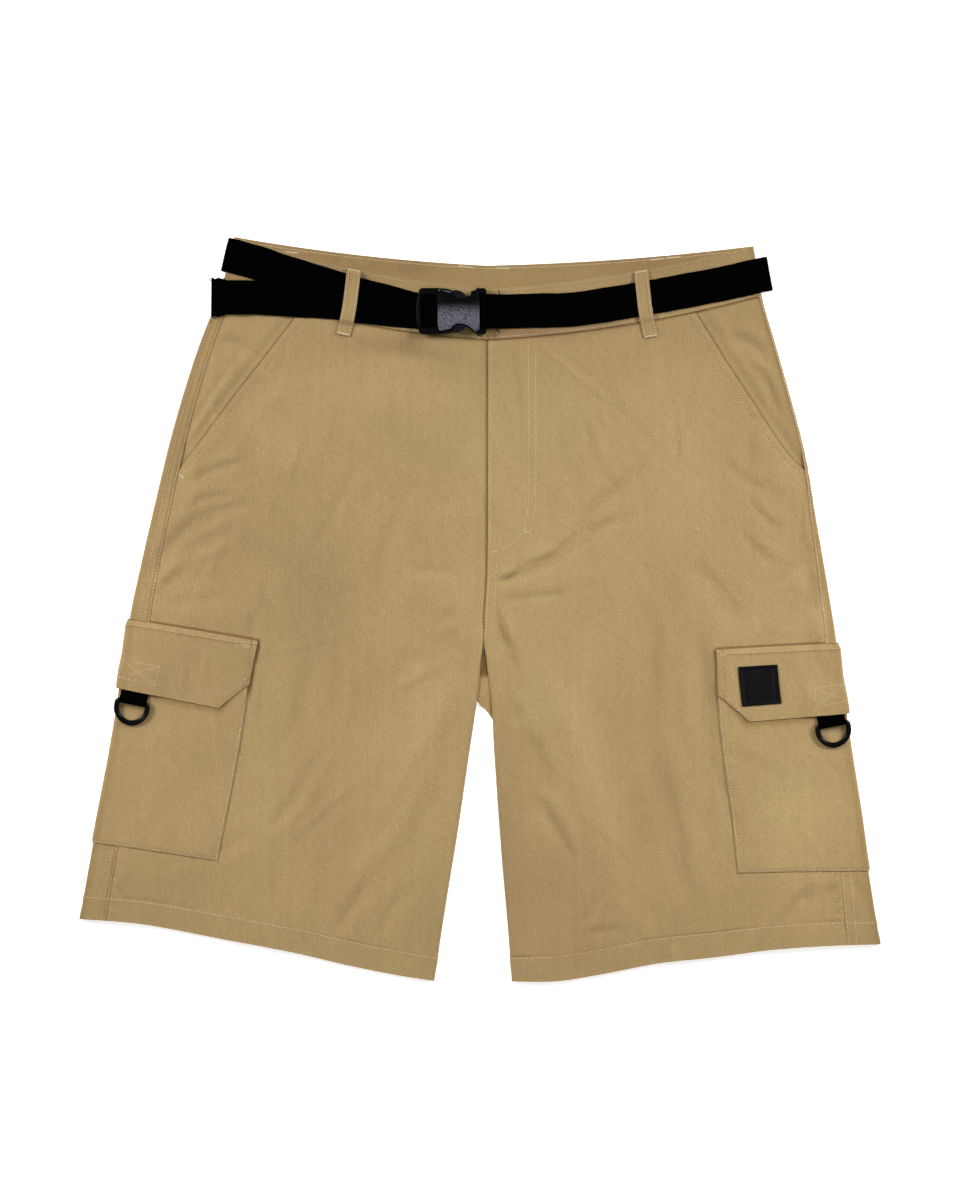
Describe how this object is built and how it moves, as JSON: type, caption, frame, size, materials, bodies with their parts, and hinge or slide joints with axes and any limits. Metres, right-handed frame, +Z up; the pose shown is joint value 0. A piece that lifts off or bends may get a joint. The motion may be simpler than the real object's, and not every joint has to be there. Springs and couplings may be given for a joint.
{
  "type": "cargo shorts",
  "caption": "Khaki cotton cargo shorts laid flat with the front up: slant pockets, flapped side pockets, metal D-rings and a black webbing belt with a side-release buckle.",
  "frame": {"origin": "middle of the footprint on the surface that the shorts lie on", "axes": "+X towards the wearer's left leg, +Y from the hems up to the waist, +Z up from the surface, out of the garment's front"},
  "size_m": [0.7, 0.6506, 0.0177],
  "materials": {
    "twill": "matt",
    "webbing": "matt",
    "plastic": "fine grain",
    "ring_metal": "gloss",
    "patch_leather": "satin"
  },
  "bodies": {
    "garment": {"front_right": "twill", "front_left": "twill", "back_right": "twill", "back_left": "twill", "pocket_facing_right": "twill", "pocket_facing_left": "twill", "waistband_front_right": "twill", "waistband_front_left": "twill", "waistband_back": "twill", "loop_front_right": "twill", "loop_front_left": "twill", "loop_side_right": "twill", "loop_side_left": "twill", "loop_back_right": "twill", "loop_back_left": "twill", "cargo_pocket_right": "twill", "cargo_pocket_left": "twill", "cargo_flap_right": "twill", "cargo_flap_left": "twill", "belt_strap": "webbing", "belt_tail": "webbing", "ring_tab_right": "webbing", "ring_tab_left": "webbing", "buckle_female": "plastic", "buckle_male": "plastic", "patch": "patch_leather"},
    "ring_right": {"d_ring_right": "ring_metal"},
    "ring_left": {"d_ring_left": "ring_metal"}
  },
  "joints": [
    {"name": "ring_right_hinge", "type": "hinge", "parent": "garment", "child": "ring_right", "pos_m": [-0.3024, -0.0805, 0.01291], "axis": [-0.9806, 0.1959, 0], "range_deg": [0, 135]},
    {"name": "ring_left_hinge", "type": "hinge", "parent": "garment", "child": "ring_left", "pos_m": [0.3069, -0.0998, 0.01291], "axis": [-0.9833, -0.1822, 0], "range_deg": [0, 135]}
  ]
}
